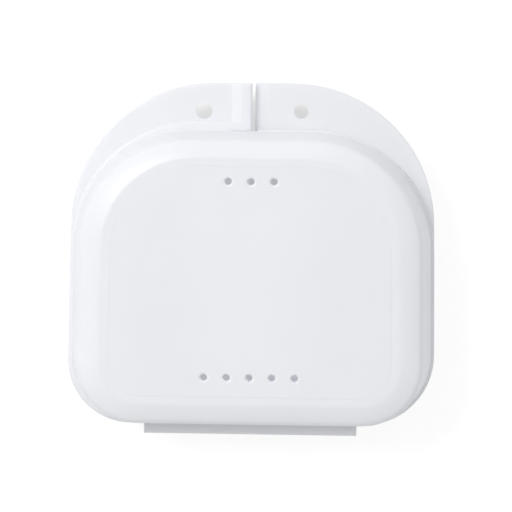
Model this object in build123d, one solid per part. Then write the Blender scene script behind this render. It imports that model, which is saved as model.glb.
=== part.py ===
"""Vented clamshell case for a denture or retainer, moulded in white polypropylene.

Two shallow shells close on each other at half height and turn on a pin along the
rear edge. Each shell carries one half of a crescent-shaped finger lip at the front:
the lid the left half, the base the right half, so a finger lifts one and a thumb
presses the other. Elsewhere a narrow flange runs round each rim. Both shells come
from one description, the half shell, drawn dome up with its lip on the left. The
base is that half shell turned over.

Frame: millimetres, +X right, +Y towards the finger lip, +Z up. The origin is in
the middle of the flat underside.
"""
from build123d import *
from math import sqrt
import os

# Heights, measured from the underside or, in a half shell, from the parting plane.
HALF_HEIGHT = 14.5          # underside to parting plane, and parting plane to lid top
RIM_GAP = 0.05              # each rim stops this far short of the parting plane
STRAIGHT_HEIGHT = 3.0       # the upright foot of the dome wall, which carries the rim
WALL_TOP = 11.0             # above the foot the wall leans in, up to this height
EDGE_RISE = 1.4             # height of the rounded edge above it, where the crown begins
LIP_THICKNESS = 1.5
STEP_HEIGHT = 2.3           # top of the step round the dome foot, and of the end tab

# Plan of the dome wall at its foot, and how it draws in towards the flat top.
WALL = 1.6
FOOT_HALF_WIDTH = 39.15
FOOT_FRONT, FOOT_REAR = 32.2, -31.25
FOOT_FRONT_RADIUS, FOOT_REAR_RADIUS = 26.0, 14.9
SIDE_LEAN = 0.015           # the sides close in towards the front by this much per mm
CROWN_SIDE, CROWN_FRONT, CROWN_REAR = 9.0, 7.0, 6.8
CROWN_CORNER = 8.0          # how much smaller the corner radii are at the flat top
CROWN_POWER = 1.8           # the crown's slope fades out towards the flat top
WALL_SHARE = 0.2            # share of the draw-in that the leaning wall takes
REAR_WALL_SHARE = 0.04      # the rear wall beside the hinge stands nearly upright
EDGE_SHARE = 0.17           # share of the rest that the rounded edge takes
CROWN_SHARES = (0, 0.01, 0.035, 0.08, 0.13, 0.17, 0.24, 0.36, 0.52, 0.7, 0.86, 1)
FLOOR_INSET = 0.4           # the cavity's corners are this much fuller than an offset

# Plan of the rim flange, the step and the crescent lip.
RIM_HALF_WIDTH = 39.97
RIM_FRONT, RIM_REAR = 32.6, -32.3
RIM_RADII = (27.1, 15.7)             # front and rear corners of the narrow flange
LIP_FRONT = 42.7
LID_LIP_RADII = (31.8, 13.8)         # the lid's lip is a little fuller at the rear
BASE_LIP_RADII = (31.1, 15.7)
STEP_FRONT, STEP_FRONT_RADIUS = 34.4, 28.2
LIP_EDGE, STEP_EDGE = 0.45, 0.6      # rounded upper edges
UNDER_EDGE = 0.3                     # rounded lower edge of the flange

# End of each half lip, beside the middle of the case.
LIP_END = -0.3              # the free end of the lip, left of the middle
TAB_FOOT, TAB_SHOULDER = -4.8, -2.6   # the tab rises between these
TAB_ROUND = 0.7
HOLLOW_FOOT, HOLLOW_SHOULDER = -3.4, -1.3   # the hollow under the tab deepens here
HOLLOW_DEPTH = 0.8
GROOVE_WIDTH, GROOVE_DEPTH = 0.3, 0.4    # fine groove between the lid's tab and the dome
RELIEF_WIDTH, RELIEF_LENGTH = 0.5, 2.8   # the base's lip end flares off towards the wall
RIM_START = 1.0             # the narrow flange starts right of the middle
LIP_HOLE_Y = 36.55
LID_HOLE_X, LID_HOLE_RADIUS = -10.8, 1.8
BASE_HOLE_X, BASE_HOLE_RADIUS = 10.35, 1.55

# Nested rims: a tongue on one half of each rim, a rebate on the other half.
TONGUE_INSET, TONGUE_DROP = 0.85, 1.6
REBATE_INSET, REBATE_DEPTH = 0.75, 1.8
TONGUE_START = 0.6          # both stop this far from the middle plane
SNAP_FROM, SNAP_TO = 3.0, 12.0
SNAP_DROP = 0.85            # centre of the snap bead below the rim
SNAP_PROUD, SNAP_BEAD_RADIUS, SNAP_GROOVE_RADIUS = 0.25, 0.45, 0.55

# Air holes in the lid.
VENT_RADIUS, VENT_PITCH = 0.75, 4.9
VENT_EDGE = 0.45            # well-rounded upper edge
FRONT_VENTS, FRONT_VENT_Y = 3, 22.0
REAR_VENTS, REAR_VENT_Y = 5, -20.4

# Hinge along the rear edge, on the parting plane.
HINGE_Y = -33.1
KNUCKLE_RADIUS = 1.7
HINGE_LENGTH = 46.8
EAR_LENGTH = 1.1
KNUCKLE_GAP = 0.05
PIN_RADIUS = 0.8
PIN_CLEARANCE = 0.05
PIN_LENGTH = 46.4
HINGE_NOTCH = 0.3           # the rim flange stops this far beside the ears
HINGE_BLEND = 0.6           # how far the knuckles' web reaches into the wall

FAR = 60.0                  # beyond the case in every direction


def plan(front, rear, half_width, front_radius, rear_radius):
    """Rounded plan outline, its sides leaning in a little towards the front."""
    wide = half_width - SIDE_LEAN * rear
    narrow = half_width - SIDE_LEAN * front
    corners = [(-wide, rear), (wide, rear), (narrow, front), (-narrow, front)]
    face = make_face(Polyline(*corners, close=True))
    face = fillet(face.vertices().group_by(Axis.Y)[-1], front_radius)
    return fillet(face.vertices().group_by(Axis.Y)[0], rear_radius)


def dome_plan(inset, crown=0.0, rear_crown=0.0):
    """Dome outline drawn in by an even inset, and by a share of the crown, at the rear by its own share."""
    return plan(
        FOOT_FRONT - inset - CROWN_FRONT * crown,
        FOOT_REAR + inset + CROWN_REAR * rear_crown,
        FOOT_HALF_WIDTH - inset - CROWN_SIDE * crown,
        FOOT_FRONT_RADIUS - inset - CROWN_CORNER * crown,
        FOOT_REAR_RADIUS - inset - CROWN_CORNER * crown,
    )


def crown_height(share, rise):
    """Height of the crown above the wall, at a share of its width inwards."""
    edge = min(share / EDGE_SHARE, 1)
    return EDGE_RISE * sqrt(1 - (1 - edge) ** 2) + rise * (1 - (1 - share) ** CROWN_POWER)


def dome(inset, start):
    """Solid dome from height start up to the flat top, less the inset all round."""
    wall_top = WALL_TOP - inset / 2
    rise = HALF_HEIGHT - inset - wall_top - EDGE_RISE
    width = 1 - FLOOR_INSET * inset / CROWN_SIDE
    shoulder, rear_shoulder = WALL_SHARE * width, REAR_WALL_SHARE * width
    foot = extrude(Pos(0, 0, start) * dome_plan(inset), STRAIGHT_HEIGHT - start)
    wall = loft([
        Pos(0, 0, STRAIGHT_HEIGHT) * dome_plan(inset),
        Pos(0, 0, wall_top) * dome_plan(inset, shoulder, rear_shoulder),
    ], ruled=True)
    crown = loft([
        Pos(0, 0, wall_top + crown_height(share, rise)) * dome_plan(
            inset, shoulder + (width - shoulder) * share, rear_shoulder + (width - rear_shoulder) * share)
        for share in CROWN_SHARES
    ])
    return foot + wall + crown


def slab(x0, x1, y0, y1, z0, z1):
    """Plain block between two corners."""
    return Pos((x0 + x1) / 2, (y0 + y1) / 2, (z0 + z1) / 2) * Box(x1 - x0, y1 - y0, z1 - z0)


def prism_along_y(points, y0, y1):
    """Solid with the given outline in X and Z, from y0 to y1."""
    face = make_face(Polyline(*points, close=True))
    return extrude(Location((0, y1, 0), (90, 0, 0)) * face, y1 - y0)


def rod(x0, x1, y, z, radius):
    """Round bar along X."""
    return Pos((x0 + x1) / 2, y, z) * Rot(0, 90, 0) * Cylinder(radius, x1 - x0)


def plate(front, radii, x0, x1):
    """Flat plate on the parting plane with rounded edges, kept between x0 and x1."""
    outline = plan(front, RIM_REAR, RIM_HALF_WIDTH, *radii)
    solid = extrude(Pos(0, 0, RIM_GAP) * outline, LIP_THICKNESS - RIM_GAP)
    solid = fillet(solid.edges().group_by(Axis.Z)[-1], LIP_EDGE)
    solid = fillet(solid.edges().group_by(Axis.Z)[0], UNDER_EDGE)
    return solid & slab(x0, x1, -FAR, FAR, -FAR, FAR)


def step_band(rear_radius):
    """Raised step between the dome foot and the lip, left half."""
    outline = plan(STEP_FRONT, RIM_REAR, RIM_HALF_WIDTH, STEP_FRONT_RADIUS, rear_radius)
    band = extrude(Pos(0, 0, RIM_GAP) * outline, STEP_HEIGHT - RIM_GAP)
    band = fillet(band.edges().group_by(Axis.Z)[-1], STEP_EDGE)
    return band & slab(-FAR, LIP_END - TAB_ROUND, -FAR, FAR, -FAR, FAR)


def end_tab():
    """Raised tab at the lip's free end: a ramp, a flat top and a rounded edge."""
    outline = [
        (TAB_FOOT - 0.6, LIP_THICKNESS - 0.4),
        (TAB_FOOT, LIP_THICKNESS),
        (TAB_SHOULDER, STEP_HEIGHT),
        (LIP_END, STEP_HEIGHT),
        (LIP_END, RIM_GAP),
        (TAB_FOOT, RIM_GAP),
    ]
    tab = prism_along_y(outline, FOOT_FRONT, LIP_FRONT)
    shoulder = tab.edges().filter_by(Axis.Y).group_by(Axis.X)[-1].sort_by(Axis.Z)[-1]
    tab = fillet(shoulder, TAB_ROUND)
    front_edges = tab.edges().group_by(Axis.Y)[-1].filter_by(lambda e: e.center().Z > LIP_THICKNESS)
    return fillet(front_edges, LIP_EDGE)


def tab_hollow():
    """Space under the tab, which lets a finger tip in between the two half lips."""
    below = -1.0
    outline = [
        (HOLLOW_FOOT, below),
        (HOLLOW_FOOT, RIM_GAP),
        (HOLLOW_SHOULDER, RIM_GAP + HOLLOW_DEPTH),
        (1.0, RIM_GAP + HOLLOW_DEPTH),
        (1.0, below),
    ]
    return prism_along_y(outline, FOOT_FRONT - WALL / 2, LIP_FRONT + 1.0)


def end_relief():
    """Wedge off the lip's free end, where it meets the dome wall."""
    outline = [
        (LIP_END, FOOT_FRONT - WALL / 2),
        (LIP_END, FOOT_FRONT + RELIEF_LENGTH),
        (LIP_END - RELIEF_WIDTH, FOOT_FRONT - WALL / 2),
    ]
    return extrude(make_face(Polyline(*outline, close=True)), LIP_THICKNESS)


def tongue():
    """Thin tongue under the right half of the rim, along the wall's inner side."""
    ring = extrude(dome_plan(TONGUE_INSET), -TONGUE_DROP) - extrude(dome_plan(WALL), -TONGUE_DROP)
    ring = ring + extrude(dome_plan(TONGUE_INSET), RIM_GAP) - extrude(dome_plan(WALL), RIM_GAP)
    bead_y = FOOT_FRONT - TONGUE_INSET + SNAP_PROUD - SNAP_BEAD_RADIUS
    bead = rod(SNAP_FROM, SNAP_TO, bead_y, -SNAP_DROP, SNAP_BEAD_RADIUS)
    half = ring & slab(TONGUE_START, FAR, -FAR, FAR, -FAR, FAR)
    return half + bead


def rebate():
    """Space for the other shell's tongue, inside the left half of the rim."""
    block = extrude(dome_plan(REBATE_INSET), REBATE_DEPTH) & slab(
        -FAR, -TONGUE_START / 2, -FAR, FAR, -FAR, FAR
    )
    groove_y = FOOT_FRONT - TONGUE_INSET + SNAP_PROUD - SNAP_BEAD_RADIUS
    groove = rod(-SNAP_TO - 0.3, -SNAP_FROM + 0.3, groove_y, SNAP_DROP, SNAP_GROOVE_RADIUS)
    return block + groove


def half_shell(lip_radii, hole_x, hole_radius):
    """One shell, dome up, parting plane at z = 0, its half lip on the left."""
    flange = plate(LIP_FRONT, lip_radii, -FAR, LIP_END) + plate(RIM_FRONT, RIM_RADII, RIM_START, FAR)
    flange += step_band(lip_radii[1]) + end_tab()
    reach = HINGE_LENGTH / 2 + HINGE_NOTCH
    flange -= slab(-reach, reach, -FAR, FOOT_REAR, -FAR, FAR)
    flange -= tab_hollow()
    flange -= Pos(hole_x, LIP_HOLE_Y, LIP_THICKNESS / 2) * Cylinder(hole_radius, 4 * LIP_THICKNESS)
    shell = flange + dome(0.0, RIM_GAP) - dome(WALL, -1.0)
    return shell - rebate() + tongue()


def knuckle(x0, x1):
    """One hinge knuckle with the web that carries it, above the parting plane."""
    barrel = rod(x0, x1, HINGE_Y, 0, KNUCKLE_RADIUS)
    web = slab(x0, x1, HINGE_Y, FOOT_REAR + HINGE_BLEND, RIM_GAP, KNUCKLE_RADIUS)
    return barrel + web


def vents():
    """Two rows of air holes through the lid's top."""
    cutter = Cylinder(VENT_RADIUS, 4 * WALL)
    rows = ((FRONT_VENTS, FRONT_VENT_Y), (REAR_VENTS, REAR_VENT_Y))
    places = [
        Pos((k - (count - 1) / 2) * VENT_PITCH, y, HALF_HEIGHT)
        for count, y in rows
        for k in range(count)
    ]
    return [place * cutter for place in places]


def lid_shell():
    """Lid: half shell with the long middle knuckle, the groove beside its tab and the air holes."""
    half_knuckle = HINGE_LENGTH / 2 - EAR_LENGTH - KNUCKLE_GAP
    lid = half_shell(LID_LIP_RADII, LID_HOLE_X, LID_HOLE_RADIUS)
    lid += knuckle(-half_knuckle, half_knuckle)
    lid -= rod(-FAR, FAR, HINGE_Y, 0, PIN_RADIUS + PIN_CLEARANCE)
    lid -= slab(TAB_FOOT, 0, FOOT_FRONT, FOOT_FRONT + GROOVE_WIDTH, STEP_HEIGHT - GROOVE_DEPTH, STEP_HEIGHT + 1)
    for vent in vents():
        lid -= vent
    rims = lid.edges().filter_by(GeomType.CIRCLE).filter_by(lambda e: e.center().Z > HALF_HEIGHT - 0.01)
    return Pos(0, 0, HALF_HEIGHT) * fillet(rims, VENT_EDGE)


def base_shell():
    """Base: half shell turned over, with the two hinge ears that grip the pin."""
    inner = HINGE_LENGTH / 2 - EAR_LENGTH
    base = half_shell(BASE_LIP_RADII, -BASE_HOLE_X, BASE_HOLE_RADIUS) - end_relief()
    base += knuckle(-HINGE_LENGTH / 2, -inner) + knuckle(inner, HINGE_LENGTH / 2)
    base -= rod(-FAR, FAR, HINGE_Y, 0, PIN_RADIUS)
    return Pos(0, 0, HALF_HEIGHT) * Rot(0, 180, 0) * base


def hinge_pin():
    """Pin gripped by the base's ears, on which the lid's knuckle turns."""
    pin = rod(-PIN_LENGTH / 2, PIN_LENGTH / 2, HINGE_Y, HALF_HEIGHT, PIN_RADIUS)
    return chamfer(pin.edges(), 0.15)


def main():
    os.makedirs("parts", exist_ok=True)
    parts = {"lid_shell": lid_shell(), "base_shell": base_shell(), "hinge_pin": hinge_pin()}
    for name, part in parts.items():
        export_step(part, f"parts/{name}.step")


main()
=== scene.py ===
# Denture case, the looks: two shells moulded in white polypropylene and the hinge pin between
# them, on a plain pale table under soft studio light. Everything is in metres, in the model's
# frame: +X right, +Y towards the finger lip, +Z up, the origin in the middle of the underside.
from math import cos, radians, sin

import bpy
from bpy.props import FloatProperty, FloatVectorProperty, PointerProperty
from mathutils import Matrix, Vector


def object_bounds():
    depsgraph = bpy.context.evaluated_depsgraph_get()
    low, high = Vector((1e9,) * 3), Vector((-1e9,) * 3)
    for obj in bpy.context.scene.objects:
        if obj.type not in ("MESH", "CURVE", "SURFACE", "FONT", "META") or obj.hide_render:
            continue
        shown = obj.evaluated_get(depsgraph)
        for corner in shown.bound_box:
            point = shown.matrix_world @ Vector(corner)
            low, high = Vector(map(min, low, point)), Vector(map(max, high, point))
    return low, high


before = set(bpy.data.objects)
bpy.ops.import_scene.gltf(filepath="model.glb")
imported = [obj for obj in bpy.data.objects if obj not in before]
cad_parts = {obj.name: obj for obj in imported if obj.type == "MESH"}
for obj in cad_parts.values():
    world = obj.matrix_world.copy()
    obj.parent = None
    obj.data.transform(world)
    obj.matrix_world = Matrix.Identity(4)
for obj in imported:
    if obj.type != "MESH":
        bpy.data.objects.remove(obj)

bl_info = {
    "name": "Denture case",
    "version": (1, 0, 0),
    "blender": (4, 5, 0),
    "location": "3D View > Sidebar > Denture case",
    "description": "Finishes a moulded clamshell denture case and sets it on a studio table",
    "category": "Object",
}

CAD_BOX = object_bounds()
MM = 0.001
PARTING_HEIGHT = 14.5 * MM
FLAT_TOP = CAD_BOX[1][2]

# Over the crown, the shading starts to turn level this far below the flat top, and is level there.
LEVEL_STARTS, LEVEL_FULL = 0.38 * MM, 0.12 * MM
HOLE_ROWS_MIDDLE = (0, 0.5 * MM, 0)
HOLE_ROWS_REACH = (12 * MM, 23.3 * MM, 1)   # the two rows of air holes lie within this of it
# A face is outside where its distance from the middle, along its normal, is over the first of
# these, and inside where it is under the second.
OUTSIDE_FROM, INSIDE_FROM = -1 * MM, -3 * MM

# The key lamp: degrees round from +X towards +Y, degrees up, distance and side, in metres.
KEY_AZIMUTH, KEY_HEIGHT, KEY_DISTANCE, KEY_SIZE = 140, 57, 1.0, 0.35

# A painted shade on the table: a soft-edged disc within the case's outline, where the glow that the
# camera sees on the table is dimmed.
PAINTED_SHADE_MIDDLE = (0, 4 * MM, 0)
PAINTED_SHADE_INNER, PAINTED_SHADE_OUTER = 33 * MM, 38.4 * MM
TABLE_GAP = 0.1 * MM        # the table top lies this far under the case

# The picture, in pixels: its side, and how far the case stands from its middle.
PICTURE_SIDE = 512
CASE_LEFT, CASE_DOWN = 4.0, 21.5


def linear(code):
    """The linear colour of an sRGB hex code such as #E9EAEE."""
    parts = [int(code[place:place + 2], 16) / 255 for place in (1, 3, 5)]
    return [part / 12.92 if part <= 0.04045 else ((part + 0.055) / 1.055) ** 2.4 for part in parts]


def add_node(tree, kind, inputs=None, **settings):
    """Adds a node with its settings. Each input takes a value, or another node's output to link."""
    made = tree.nodes.new(kind)
    for name, value in settings.items():
        setattr(made, name, value)
    for name, value in (inputs or {}).items():
        if isinstance(value, bpy.types.NodeSocket):
            tree.links.new(value, made.inputs[name])
        else:
            made.inputs[name].default_value = value
    return made


def new_material(name):
    """An empty material with only its output node."""
    material = bpy.data.materials.new(name)
    material.use_nodes = True
    material.node_tree.nodes.clear()
    output = material.node_tree.nodes.new("ShaderNodeOutputMaterial")
    return material, material.node_tree, output


class CaseFinish(bpy.types.PropertyGroup):
    """Colours and surface of the moulded parts."""

    shell_colour: FloatVectorProperty(
        name="Shell colour", description="White of the polypropylene shells",
        subtype="COLOR", size=3, min=0, max=1, default=linear("#F5F6F8"))
    shell_cloud: FloatVectorProperty(
        name="Shell cloud", description="Slightly deeper white where the melt ran together",
        subtype="COLOR", size=3, min=0, max=1, default=linear("#F3F4F7"))
    pin_colour: FloatVectorProperty(
        name="Pin colour", description="Natural white of the nylon hinge pin",
        subtype="COLOR", size=3, min=0, max=1, default=linear("#E6E5E0"))
    shell_roughness: FloatProperty(
        name="Shell roughness", description="Microscopic roughness of the semi-gloss shells",
        subtype="FACTOR", min=0, max=1, default=0.34)
    inside_dulling: FloatProperty(
        name="Inside dulling", description="How much rougher the inside of a shell is",
        subtype="FACTOR", min=0, max=1, default=0.15)
    light_through: FloatProperty(
        name="Light through", description="Share of light that passes into a wall from outside",
        subtype="FACTOR", min=0, max=1, default=0.24)
    light_out_inside: FloatProperty(
        name="Light out inside",
        description="Share that passes through the duller inner face of a wall",
        subtype="FACTOR", min=0, max=1, default=0.7)
    cloud_size: FloatProperty(
        name="Cloud size", description="Distance between clouds in the plastic",
        unit="LENGTH", min=0, default=11 * MM)
    grain_size: FloatProperty(
        name="Grain size", description="Distance between bumps of the spark-eroded mould",
        unit="LENGTH", min=0, default=0.35 * MM)
    grain_depth: FloatProperty(
        name="Grain depth", description="Height of those bumps",
        unit="LENGTH", min=0, default=0.003 * MM)


class CaseStudio(bpy.types.PropertyGroup):
    """Table, light and camera."""

    table_size: FloatProperty(
        name="Table size", description="Side of the square table", unit="LENGTH", default=6.0)
    table_glow: FloatProperty(
        name="Table glow", description="Even light added to the table as the camera sees it",
        default=0.8, min=0)
    # Painted shade: the lower glow that the camera sees on the table right under the case.
    painted_table_shade: FloatProperty(
        name="Table shade", description="The same, right under the case", default=0.48, min=0)
    sky_level: FloatProperty(
        name="Sky level", description="Light from all round", default=0.67, min=0)
    sky_lean: FloatVectorProperty(
        name="Sky lean",
        description="How much brighter the light is from the right, the front and above",
        subtype="XYZ", size=3, default=(-0.11, 0.21, -0.08))
    key_lamp: FloatProperty(
        name="Key lamp", description="Power of the soft lamp at the front left, in watts",
        default=3.9, min=0)
    camera_distance: FloatProperty(
        name="Camera distance", description="From the camera to the case",
        unit="LENGTH", default=0.625)
    camera_lens: FloatProperty(
        name="Camera lens", description="Focal length in millimetres", default=200.0)
    lean_front: FloatProperty(
        name="Lean to the front", description="How far the camera leans over the finger lip",
        subtype="ANGLE", default=radians(5.3))
    lean_right: FloatProperty(
        name="Lean to the right", description="How far the camera leans to the right",
        subtype="ANGLE", default=radians(1.6))
    roll: FloatProperty(
        name="Roll", description="How far the case looks turned clockwise",
        subtype="ANGLE", default=radians(0.65))


def polished_level(tree, place):
    """The surface's normal, brought level where the crown runs out into the flat top. The solid
    dips there by about 0.1 mm, and a real lid has no such line. This eases the shading only: the
    mesh keeps the dip. The rows of air holes keep their rounded edges."""
    height = add_node(tree, "ShaderNodeSeparateXYZ", {"Vector": place}).outputs["Z"]
    near_top = add_node(tree, "ShaderNodeMapRange", {
        "Value": height, "From Min": FLAT_TOP - LEVEL_STARTS, "From Max": FLAT_TOP - LEVEL_FULL},
        interpolation_type="SMOOTHSTEP")
    arm = add_node(tree, "ShaderNodeVectorMath", {
        0: place, 1: HOLE_ROWS_MIDDLE}, operation="SUBTRACT")
    reach = add_node(tree, "ShaderNodeVectorMath", {
        0: arm.outputs["Vector"]}, operation="ABSOLUTE")
    ratio = add_node(tree, "ShaderNodeVectorMath", {
        0: reach.outputs["Vector"], 1: HOLE_ROWS_REACH}, operation="DIVIDE")
    ratio = add_node(tree, "ShaderNodeSeparateXYZ", {"Vector": ratio.outputs["Vector"]})
    farther = add_node(tree, "ShaderNodeMath", {
        0: ratio.outputs["X"], 1: ratio.outputs["Y"]}, operation="MAXIMUM")
    beyond = add_node(tree, "ShaderNodeMath", {
        0: farther.outputs[0], 1: 1.0}, operation="GREATER_THAN")
    share = add_node(tree, "ShaderNodeMath", {
        0: near_top.outputs["Result"], 1: beyond.outputs[0]}, operation="MULTIPLY")
    upright = add_node(tree, "ShaderNodeVectorTransform", {"Vector": (0, 0, 1)},
                       vector_type="NORMAL", convert_from="OBJECT", convert_to="WORLD")
    surface = add_node(tree, "ShaderNodeNewGeometry")
    eased = add_node(tree, "ShaderNodeMix", {
        "Factor": share.outputs[0], "A": surface.outputs["Normal"],
        "B": upright.outputs["Vector"]}, data_type="VECTOR")
    normal = add_node(tree, "ShaderNodeVectorMath", {
        0: eased.outputs["Result"]}, operation="NORMALIZE")
    return normal.outputs["Vector"]


def moulded_plastic(name, colour, cloud, roughness, finish):
    """Injection-moulded plastic: an even, faintly clouded white with a soft gloss on the outside,
    where the mould is polished, and a duller inside, where it is spark-eroded. Some light passes
    through the thin walls, so that the closed case isn't dark behind its air holes."""
    material, tree, output = new_material(name)
    coordinates = add_node(tree, "ShaderNodeTexCoord")
    place = coordinates.outputs["Object"]
    # A face that looks back at the middle of the case lies on the inside of a shell.
    arm = add_node(tree, "ShaderNodeVectorMath", {
        0: place, 1: (0, 0, PARTING_HEIGHT)}, operation="SUBTRACT")
    facing = add_node(tree, "ShaderNodeVectorMath", {
        0: arm.outputs["Vector"], 1: coordinates.outputs["Normal"]}, operation="DOT_PRODUCT")
    inside = add_node(tree, "ShaderNodeMapRange", {
        "Value": facing.outputs["Value"], "From Min": OUTSIDE_FROM, "From Max": INSIDE_FROM,
        "To Min": 0.0, "To Max": 1.0})
    clouds = add_node(tree, "ShaderNodeTexNoise", {
        "Vector": place, "Scale": 1 / finish.cloud_size, "Detail": 1.0, "Roughness": 0.4})
    shade = add_node(tree, "ShaderNodeMix", {
        "Factor": clouds.outputs["Fac"], "A": (*colour, 1), "B": (*cloud, 1)}, data_type="RGBA")
    sheen = add_node(tree, "ShaderNodeMath", {
        0: clouds.outputs["Fac"], 1: 0.08, 2: roughness - 0.04}, operation="MULTIPLY_ADD")
    dull = add_node(tree, "ShaderNodeMath", {
        0: inside.outputs["Result"], 1: finish.inside_dulling, 2: sheen.outputs[0]},
        operation="MULTIPLY_ADD")
    grain = add_node(tree, "ShaderNodeTexNoise", {
        "Vector": place, "Scale": 1 / finish.grain_size, "Detail": 3.0, "Roughness": 0.6})
    depth = add_node(tree, "ShaderNodeMath", {
        0: inside.outputs["Result"], 1: 2 * finish.grain_depth, 2: finish.grain_depth},
        operation="MULTIPLY_ADD")
    bump = add_node(tree, "ShaderNodeBump", {
        "Height": grain.outputs["Fac"], "Distance": depth.outputs[0], "Strength": 1.0,
        "Normal": polished_level(tree, place)})
    shader = add_node(tree, "ShaderNodeBsdfPrincipled", {
        "Base Color": shade.outputs["Result"], "Roughness": dull.outputs[0],
        "IOR": 1.49, "Normal": bump.outputs["Normal"]})
    share = add_node(tree, "ShaderNodeMapRange", {
        "Value": inside.outputs["Result"],
        "To Min": finish.light_through, "To Max": finish.light_out_inside})
    through = add_node(tree, "ShaderNodeBsdfTranslucent", {"Color": shade.outputs["Result"]})
    wall = add_node(tree, "ShaderNodeMixShader", {"Fac": share.outputs["Result"]})
    tree.links.new(shader.outputs["BSDF"], wall.inputs[1])
    tree.links.new(through.outputs["BSDF"], wall.inputs[2])
    tree.links.new(wall.outputs["Shader"], output.inputs["Surface"])
    return material


class DENTURECASE_OT_shells(bpy.types.Operator):
    """Gives the lid and the base their moulded white polypropylene"""

    bl_idname = "denturecase.shells"
    bl_label = "Finish the shells"

    def execute(self, context):
        finish = context.scene.case_finish
        plastic = moulded_plastic(
            "polypropylene_moulded_white", finish.shell_colour, finish.shell_cloud,
            finish.shell_roughness, finish)
        for name in ("lid_shell", "base_shell"):
            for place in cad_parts[name].material_slots:
                place.material = plastic
        return {"FINISHED"}


class DENTURECASE_OT_hinge_pin(bpy.types.Operator):
    """Gives the hinge pin its extruded nylon"""

    bl_idname = "denturecase.hinge_pin"
    bl_label = "Finish the hinge pin"

    def execute(self, context):
        finish = context.scene.case_finish
        nylon = moulded_plastic(
            "nylon_extruded_natural", finish.pin_colour, finish.pin_colour,
            finish.shell_roughness + 0.15, finish)
        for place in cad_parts["hinge_pin"].material_slots:
            place.material = nylon
        return {"FINISHED"}


def add_lamp(name, power, size, place, aim):
    """A square soft lamp at one place, turned towards another."""
    light = bpy.data.lights.new(name, "AREA")
    light.energy = power
    light.shape = "SQUARE"
    light.size = size
    lamp = bpy.data.objects.new(name, light)
    lamp.location = place
    lamp.rotation_euler = (aim - place).to_track_quat("-Z", "Y").to_euler()
    lamp.visible_camera = False
    bpy.context.scene.collection.objects.link(lamp)
    return lamp


def seen_directly(tree):
    """1 for a ray from the camera, a mirror or a clear piece, 0 for one that only carries light."""
    path = add_node(tree, "ShaderNodeLightPath")
    mirrored = add_node(tree, "ShaderNodeMath", {
        0: path.outputs["Is Camera Ray"], 1: path.outputs["Is Glossy Ray"]}, operation="MAXIMUM")
    either = add_node(tree, "ShaderNodeMath", {
        0: mirrored.outputs[0], 1: path.outputs["Is Transmission Ray"]}, operation="MAXIMUM")
    return either.outputs[0]


def around(aim, azimuth, height, distance):
    """The place that far from aim, azimuth degrees round from +X to +Y and height degrees up."""
    turn, rise = radians(azimuth), radians(height)
    return aim + distance * Vector((cos(turn) * cos(rise), sin(turn) * cos(rise), sin(rise)))


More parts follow.
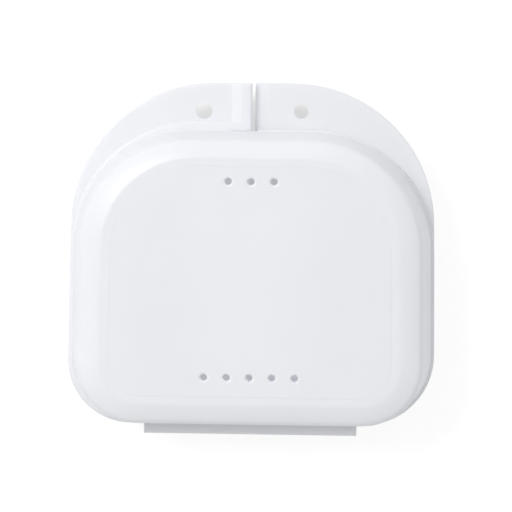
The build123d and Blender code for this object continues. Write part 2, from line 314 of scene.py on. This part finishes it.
class DENTURECASE_OT_stage(bpy.types.Operator):
    """Sets the table, the soft light and the camera"""

    bl_idname = "denturecase.stage"
    bl_label = "Set the stage"

    def execute(self, context):
        studio = context.scene.case_studio
        context.scene.view_settings.view_transform = "Standard"
        aim = Vector((0, 0, PARTING_HEIGHT))
        self.table(studio)
        self.sky(context.scene, studio)
        place = around(aim, KEY_AZIMUTH, KEY_HEIGHT, KEY_DISTANCE)
        add_lamp("key_lamp", studio.key_lamp, KEY_SIZE, place, aim)
        self.camera(context.scene, studio, aim)
        return {"FINISHED"}

    def table(self, studio):
        """A plain table top just under the case. The camera sees it as white with a faint shadow,
        and as a painted grey shade within a soft-edged disc under the case, which the two holes
        under the finger lips show."""
        half = studio.table_size / 2
        mesh = bpy.data.meshes.new("table")
        corners = ((-half, -half), (half, -half), (half, half), (-half, half))
        mesh.from_pydata([(x, y, -TABLE_GAP) for x, y in corners], [], [(0, 1, 2, 3)])
        material, tree, output = new_material("table_matt_laminate_white")
        matt = add_node(tree, "ShaderNodeBsdfDiffuse", {"Color": (*linear("#E8E8E8"), 1)})
        place = add_node(tree, "ShaderNodeTexCoord").outputs["Object"]
        away = add_node(tree, "ShaderNodeVectorMath", {
            0: place, 1: PAINTED_SHADE_MIDDLE}, operation="DISTANCE")
        # Painted shade: the glow drops to the painted table shade within a disc under the case.
        shade = add_node(tree, "ShaderNodeMapRange", {
            "Value": away.outputs["Value"], "From Min": PAINTED_SHADE_INNER, "From Max": PAINTED_SHADE_OUTER,
            "To Min": studio.painted_table_shade, "To Max": studio.table_glow},
            interpolation_type="SMOOTHSTEP")
        glow = add_node(tree, "ShaderNodeEmission", {
            "Color": (1, 1, 1, 1), "Strength": shade.outputs["Result"]})
        # Only a third of the shadow is left to the camera, so that the table stays white.
        dim = add_node(tree, "ShaderNodeBsdfDiffuse", {"Color": (0.3, 0.3, 0.3, 1)})
        share = add_node(tree, "ShaderNodeAddShader")
        tree.links.new(dim.outputs["BSDF"], share.inputs[0])
        tree.links.new(glow.outputs["Emission"], share.inputs[1])
        mix = add_node(tree, "ShaderNodeMixShader", {"Fac": seen_directly(tree)})
        tree.links.new(matt.outputs["BSDF"], mix.inputs[1])
        tree.links.new(share.outputs["Shader"], mix.inputs[2])
        tree.links.new(mix.outputs["Shader"], output.inputs["Surface"])
        mesh.materials.append(material)
        table = bpy.data.objects.new("table", mesh)
        bpy.context.scene.collection.objects.link(table)

    def sky(self, scene, studio):
        """White all round for the camera, and a soft even light for the case."""
        world = bpy.data.worlds.new("studio")
        world.use_nodes = True
        tree = world.node_tree
        tree.nodes.clear()
        output = tree.nodes.new("ShaderNodeOutputWorld")
        toward = add_node(tree, "ShaderNodeTexCoord").outputs["Generated"]
        lean = add_node(tree, "ShaderNodeVectorMath", {
            0: toward, 1: studio.sky_lean}, operation="DOT_PRODUCT")
        soft = add_node(tree, "ShaderNodeMath", {
            0: lean.outputs["Value"], 1: studio.sky_level}, operation="ADD")
        soft = add_node(tree, "ShaderNodeMath", {0: soft.outputs[0], 1: 0.0}, operation="MAXIMUM")
        level = add_node(tree, "ShaderNodeMix", {
            "Factor": seen_directly(tree), "A": soft.outputs[0], "B": 1.0})
        sky = add_node(tree, "ShaderNodeBackground", {
            "Color": (1, 1, 1, 1), "Strength": level.outputs["Result"]})
        tree.links.new(sky.outputs["Background"], output.inputs["Surface"])
        scene.world = world

    def camera(self, scene, studio, aim):
        """A long lens almost straight above, leaning a little over the finger lip."""
        data = bpy.data.cameras.new("camera")
        data.lens = studio.camera_lens
        data.sensor_width = 36.0
        data.clip_start, data.clip_end = 0.05, 20.0
        back = Vector((sin(studio.lean_right), sin(studio.lean_front), 1)).normalized()
        up = (Vector((0, 1, 0)) - back * back.y).normalized()
        right = up.cross(back)
        turn = studio.roll
        right, up = right * cos(turn) + up * sin(turn), up * cos(turn) - right * sin(turn)
        pixel = data.sensor_width / data.lens * studio.camera_distance / PICTURE_SIDE
        place = aim + back * studio.camera_distance
        place += right * (CASE_LEFT * pixel) + up * (CASE_DOWN * pixel)
        camera = bpy.data.objects.new("camera", data)
        camera.matrix_world = Matrix((right, up, back)).transposed().to_4x4()
        camera.location = place
        scene.collection.objects.link(camera)
        scene.camera = camera


class DENTURECASE_PT_panel(bpy.types.Panel):
    """Lists the pieces of the denture case"""

    bl_idname = "DENTURECASE_PT_panel"
    bl_label = "Denture case"
    bl_space_type = "VIEW_3D"
    bl_region_type = "UI"
    bl_category = "Denture case"

    def draw(self, context):
        for step in STEPS:
            self.layout.operator(step.bl_idname)
        for group in (context.scene.case_finish, context.scene.case_studio):
            box = self.layout.box()
            for name in group.__annotations__:
                box.prop(group, name)


STEPS = (DENTURECASE_OT_shells, DENTURECASE_OT_hinge_pin, DENTURECASE_OT_stage)
CLASSES = (CaseFinish, CaseStudio, *STEPS, DENTURECASE_PT_panel)


def register():
    for kind in CLASSES:
        bpy.utils.register_class(kind)
    bpy.types.Scene.case_finish = PointerProperty(type=CaseFinish)
    bpy.types.Scene.case_studio = PointerProperty(type=CaseStudio)


def unregister():
    del bpy.types.Scene.case_studio
    del bpy.types.Scene.case_finish
    for kind in reversed(CLASSES):
        bpy.utils.unregister_class(kind)


def main():
    register()
    bpy.ops.denturecase.shells()
    bpy.ops.denturecase.hinge_pin()
    bpy.ops.denturecase.stage()


if __name__ == "__main__":
    main()
